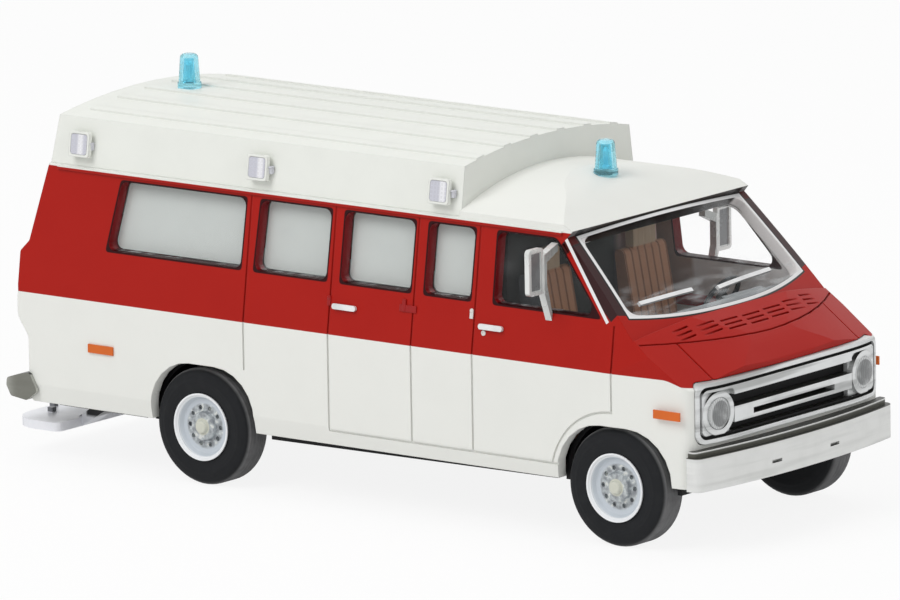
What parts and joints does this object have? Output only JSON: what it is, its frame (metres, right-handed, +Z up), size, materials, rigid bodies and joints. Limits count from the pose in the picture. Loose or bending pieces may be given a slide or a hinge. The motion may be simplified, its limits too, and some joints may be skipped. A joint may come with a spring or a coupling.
{
  "type": "scale model ambulance van",
  "caption": "Small moulded model of a high-roof ambulance van with a hollow shell, glazed cab, chromed front, roof beacons and free-rolling wheel sets.",
  "frame": {"origin": "on the ground under the middle of the model's length and width", "axes": "+X towards the front of the van, +Y its left side, +Z up"},
  "size_m": [0.064, 0.0274, 0.0287],
  "materials": {
    "body_paint": "two printed paints, red above the belt and white below, semi-gloss",
    "white_plastic": "self-coloured moulding, semi-gloss",
    "lamp_lens": "clear over silver",
    "clear_glazing": "clear injection-moulded plastic",
    "blind_white": "printed white on the glazing's inner face",
    "dash_grey": "satin",
    "seat_brown": "satin",
    "chassis_black": "satin moulding",
    "axle_steel": "plain drawn pin",
    "tyre_black": "matt soft plastic",
    "rim_silver": "silver-grey print with a pale lip",
    "chrome_plate": "vacuum-plated bright plastic",
    "grille_black": "matt print",
    "silver_paint": "silver print",
    "beacon_blue": "translucent tinted plastic",
    "lamp_red": "red print",
    "lamp_orange": "orange print"
  },
  "bodies": {
    "van": {"body_shell": "body_paint", "high_roof": "white_plastic", "roof_lamp_lenses": "lamp_lens", "windscreen": "clear_glazing", "cab_door_glass": "clear_glazing", "saloon_glass": "clear_glazing", "saloon_blinds": "blind_white", "dashboard": "dash_grey", "steering_wheel": "dash_grey", "driver_seat": "seat_brown", "passenger_seat": "seat_brown", "cab_floor": "dash_grey", "bulkhead": "dash_grey", "chassis": "chassis_black", "grille_surround": "chrome_plate", "grille_insert": "grille_black", "headlamps": "lamp_lens", "front_bumper": "chrome_plate", "rear_bumper": "chrome_plate", "rear_step": "silver_paint", "mirror_right": "silver_paint", "mirror_left": "silver_paint", "wipers": "silver_paint", "beacon_front": "beacon_blue", "beacon_rear": "beacon_blue", "tail_lamps": "lamp_red", "door_handles": "silver_paint", "side_markers": "lamp_orange"},
    "front_wheels": {"front_axle": "axle_steel", "tyre_front_right": "tyre_black", "tyre_front_left": "tyre_black", "rim_front_right": "rim_silver", "rim_front_left": "rim_silver"},
    "rear_wheels": {"rear_axle": "axle_steel", "tyre_rear_right": "tyre_black", "tyre_rear_left": "tyre_black", "rim_rear_right": "rim_silver", "rim_rear_left": "rim_silver"}
  },
  "joints": [
    {"name": "front_wheels_roll", "type": "hinge", "parent": "van", "child": "front_wheels", "pos_m": [0.02375, 0, 0.00425], "axis": [0, 1, 0], "continuous": true},
    {"name": "rear_wheels_roll", "type": "hinge", "parent": "van", "child": "rear_wheels", "pos_m": [-0.01335, 0, 0.00425], "axis": [0, 1, 0], "continuous": true}
  ]
}
